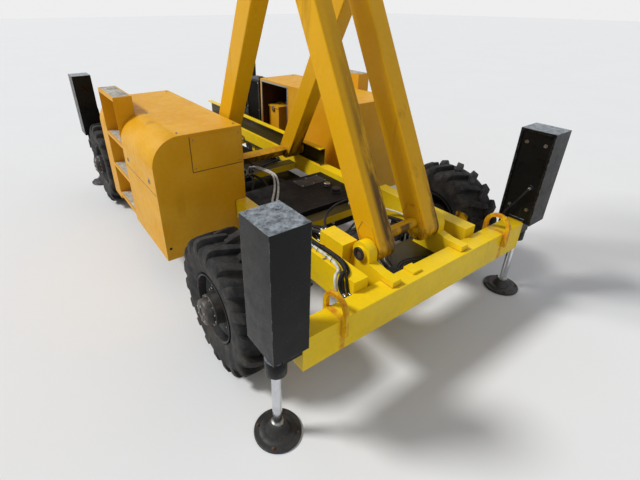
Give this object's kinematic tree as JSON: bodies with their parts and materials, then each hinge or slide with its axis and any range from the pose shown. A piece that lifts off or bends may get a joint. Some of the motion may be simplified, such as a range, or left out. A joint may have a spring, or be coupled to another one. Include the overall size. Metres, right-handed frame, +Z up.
{
  "type": "rough-terrain scissor lift",
  "caption": "Self-propelled rough-terrain scissor lift, raised on its levelling jacks, with side hoods, knobbly tyres and a railed platform with a roll-out deck.",
  "frame": {"origin": "on the ground at the middle of the undercarriage", "axes": "+Z up, +X to the right seen from the near end, +Y from the near end with the fixed arm feet to the far end"},
  "size_m": [2.471, 4.228, 15.1998],
  "materials": {
    "chassis_yellow": "gloss",
    "hood_orange": "satin",
    "dark_steel": "satin",
    "jack_black": "gloss",
    "arm_yellow": "gloss",
    "chrome_rod": "polished",
    "cylinder_black": "gloss",
    "tyre_rubber": "matte",
    "wheel_black": "satin",
    "platform_paint": "satin",
    "hose_rubber": "satin",
    "hose_sleeve": "satin",
    "control_plastic": "matte",
    "anchor_steel": "satin"
  },
  "bodies": {
    "chassis": {"chassis_frame": "chassis_yellow", "near_beam": "chassis_yellow", "far_beam": "chassis_yellow", "beam_tab": "chassis_yellow", "guide_rails": "chassis_yellow", "hood_bearers": "chassis_yellow", "hood_left": "hood_orange", "hood_right": "hood_orange", "access_steps": "hood_orange", "engine_block": "dark_steel", "cooler": "dark_steel", "hatch_box": "hood_orange", "hydraulic_tank": "dark_steel", "hoses_black": "hose_rubber", "hoses_white": "hose_sleeve", "jack_hoses": "hose_rubber", "near_axle": "dark_steel", "far_axle": "dark_steel", "jack_housing_near_left": "jack_black", "jack_housing_near_right": "jack_black", "jack_housing_far_left": "jack_black", "jack_housing_far_right": "jack_black"},
    "inner_1": {"inner_arms_1": "arm_yellow"},
    "outer_1": {"outer_arms_1": "arm_yellow"},
    "inner_2": {"inner_arms_2": "arm_yellow"},
    "outer_2": {"outer_arms_2": "arm_yellow"},
    "inner_3": {"inner_arms_3": "arm_yellow"},
    "outer_3": {"outer_arms_3": "arm_yellow"},
    "inner_4": {"inner_arms_4": "arm_yellow"},
    "outer_4": {"outer_arms_4": "arm_yellow"},
    "lower_barrel": {"lower_cylinder_barrel": "cylinder_black"},
    "lower_rod": {"lower_cylinder_rod": "chrome_rod"},
    "upper_barrel": {"upper_cylinder_barrel": "cylinder_black"},
    "upper_rod": {"upper_cylinder_rod": "chrome_rod"},
    "knuckle_left": {"knuckle_left": "dark_steel"},
    "knuckle_right": {"knuckle_right": "dark_steel"},
    "wheel_near_left": {"tyre_near_left": "tyre_rubber", "wheel_near_left": "wheel_black"},
    "jack_near_left": {"jack_foot_near_left": "chrome_rod"},
    "wheel_near_right": {"tyre_near_right": "tyre_rubber", "wheel_near_right": "wheel_black"},
    "jack_near_right": {"jack_foot_near_right": "chrome_rod"},
    "wheel_far_left": {"tyre_far_left": "tyre_rubber", "wheel_far_left": "wheel_black"},
    "jack_far_left": {"jack_foot_far_left": "chrome_rod"},
    "wheel_far_right": {"tyre_far_right": "tyre_rubber", "wheel_far_right": "wheel_black"},
    "jack_far_right": {"jack_foot_far_right": "chrome_rod"},
    "platform": {"platform_frame": "platform_paint", "platform_channels": "platform_paint", "railing_left": "platform_paint", "railing_right": "platform_paint", "platform_controls": "control_plastic", "harness_anchors": "anchor_steel"},
    "gate": {"platform_gate": "platform_paint"},
    "roll_out_deck": {"roll_out_deck": "platform_paint", "roll_out_railing": "platform_paint"}
  },
  "joints": [
    {"name": "lift_fold", "type": "hinge", "parent": "chassis", "child": "inner_1", "pos_m": [0, -1.78, 0.725], "axis": [1, 0, 0], "range_deg": [-58.48, 3.8]},
    {"name": "fold_outer_1", "type": "hinge", "parent": "inner_1", "child": "outer_1", "pos_m": [0, -0.91719, 2.36147], "axis": [1, 0, 0], "range_deg": [-7.61, 116.98]},
    {"name": "fold_outer_2", "type": "hinge", "parent": "inner_1", "child": "outer_2", "pos_m": [0, -0.05437, 3.99795], "axis": [1, 0, 0], "range_deg": [-7.61, 116.98]},
    {"name": "fold_inner_2", "type": "hinge", "parent": "outer_2", "child": "inner_2", "pos_m": [0, -0.91719, 5.63442], "axis": [1, 0, 0], "range_deg": [-116.98, 7.61]},
    {"name": "fold_inner_3", "type": "hinge", "parent": "outer_2", "child": "inner_3", "pos_m": [0, -1.78, 7.2709], "axis": [1, 0, 0], "range_deg": [-116.98, 7.61]},
    {"name": "fold_outer_3", "type": "hinge", "parent": "inner_3", "child": "outer_3", "pos_m": [0, -0.91719, 8.90737], "axis": [1, 0, 0], "range_deg": [-7.61, 116.98]},
    {"name": "fold_outer_4", "type": "hinge", "parent": "inner_3", "child": "outer_4", "pos_m": [0, -0.05437, 10.54385], "axis": [1, 0, 0], "range_deg": [-7.61, 116.98]},
    {"name": "fold_inner_4", "type": "hinge", "parent": "outer_4", "child": "inner_4", "pos_m": [0, -0.91719, 12.18032], "axis": [1, 0, 0], "range_deg": [-116.98, 7.61]},
    {"name": "platform_level", "type": "hinge", "parent": "outer_4", "child": "platform", "pos_m": [0, -1.78, 13.8168], "axis": [1, 0, 0], "range_deg": [-58.5, 3.81]},
    {"name": "lower_cylinder_swing", "type": "hinge", "parent": "inner_1", "child": "lower_barrel", "pos_m": [0, -0.3141, 3.56965], "axis": [1, 0, 0], "range_deg": [-8.32, 127.85]},
    {"name": "lower_cylinder_stroke", "type": "slide", "parent": "lower_barrel", "child": "lower_rod", "axis": [0, -0.3129, 0.9498], "range_m": [-0.5168, 0.0337]},
    {"name": "upper_cylinder_swing", "type": "hinge", "parent": "inner_3", "child": "upper_barrel", "pos_m": [0, -0.3141, 10.11555], "axis": [1, 0, 0], "range_deg": [-8.32, 127.85]},
    {"name": "upper_cylinder_stroke", "type": "slide", "parent": "upper_barrel", "child": "upper_rod", "axis": [0, -0.3129, 0.9498], "range_m": [-0.5168, 0.0337]},
    {"name": "steer_left", "type": "hinge", "parent": "chassis", "child": "knuckle_left", "pos_m": [-0.775, -1.4, 0.428], "axis": [0, 0, 1], "range_deg": [-22, 22]},
    {"name": "steer_right", "type": "hinge", "parent": "chassis", "child": "knuckle_right", "pos_m": [0.775, -1.4, 0.428], "axis": [0, 0, 1], "range_deg": [-22, 22]},
    {"name": "wheel_near_left_spin", "type": "hinge", "parent": "knuckle_left", "child": "wheel_near_left", "pos_m": [-0.965, -1.4, 0.428], "axis": [1, 0, 0], "continuous": true},
    {"name": "wheel_near_right_spin", "type": "hinge", "parent": "knuckle_right", "child": "wheel_near_right", "pos_m": [0.965, -1.4, 0.428], "axis": [1, 0, 0], "continuous": true},
    {"name": "wheel_far_left_spin", "type": "hinge", "parent": "chassis", "child": "wheel_far_left", "pos_m": [-0.965, 1.4, 0.428], "axis": [1, 0, 0], "continuous": true},
    {"name": "wheel_far_right_spin", "type": "hinge", "parent": "chassis", "child": "wheel_far_right", "pos_m": [0.965, 1.4, 0.428], "axis": [1, 0, 0], "continuous": true},
    {"name": "jack_near_left", "type": "slide", "parent": "chassis", "child": "jack_near_left", "axis": [0, 0, 1], "range_m": [0, 0.34]},
    {"name": "jack_near_right", "type": "slide", "parent": "chassis", "child": "jack_near_right", "axis": [0, 0, 1], "range_m": [0, 0.34]},
    {"name": "jack_far_left", "type": "slide", "parent": "chassis", "child": "jack_far_left", "axis": [0, 0, 1], "range_m": [0, 0.34]},
    {"name": "jack_far_right", "type": "slide", "parent": "chassis", "child": "jack_far_right", "axis": [0, 0, 1], "range_m": [0, 0.34]},
    {"name": "gate_swing", "type": "hinge", "parent": "platform", "child": "gate", "pos_m": [0.2737, -1.99, 14.0298], "axis": [0, 0, 1], "range_deg": [-90, 0]},
    {"name": "deck_roll_out", "type": "slide", "parent": "platform", "child": "roll_out_deck", "axis": [0, 1, 0], "range_m": [0, 1.1]}
  ],
  "couplings": [
    {"joint": "fold_outer_1", "follows": "lift_fold", "ratio": -2},
    {"joint": "fold_outer_2", "follows": "lift_fold", "ratio": -2},
    {"joint": "fold_inner_2", "follows": "lift_fold", "ratio": 2},
    {"joint": "fold_inner_3", "follows": "lift_fold", "ratio": 2},
    {"joint": "fold_outer_3", "follows": "lift_fold", "ratio": -2},
    {"joint": "fold_outer_4", "follows": "lift_fold", "ratio": -2},
    {"joint": "fold_inner_4", "follows": "lift_fold", "ratio": 2},
    {"joint": "platform_level", "follows": "lift_fold", "ratio": 1},
    {"joint": "lower_cylinder_swing", "follows": "lift_fold", "ratio": -2.1859},
    {"joint": "lower_cylinder_stroke", "follows": "lift_fold", "m_per_rad": 0.50623},
    {"joint": "upper_cylinder_swing", "follows": "lift_fold", "ratio": -2.1859},
    {"joint": "upper_cylinder_stroke", "follows": "lift_fold", "m_per_rad": 0.50623},
    {"joint": "steer_right", "follows": "steer_left", "ratio": 1}
  ]
}
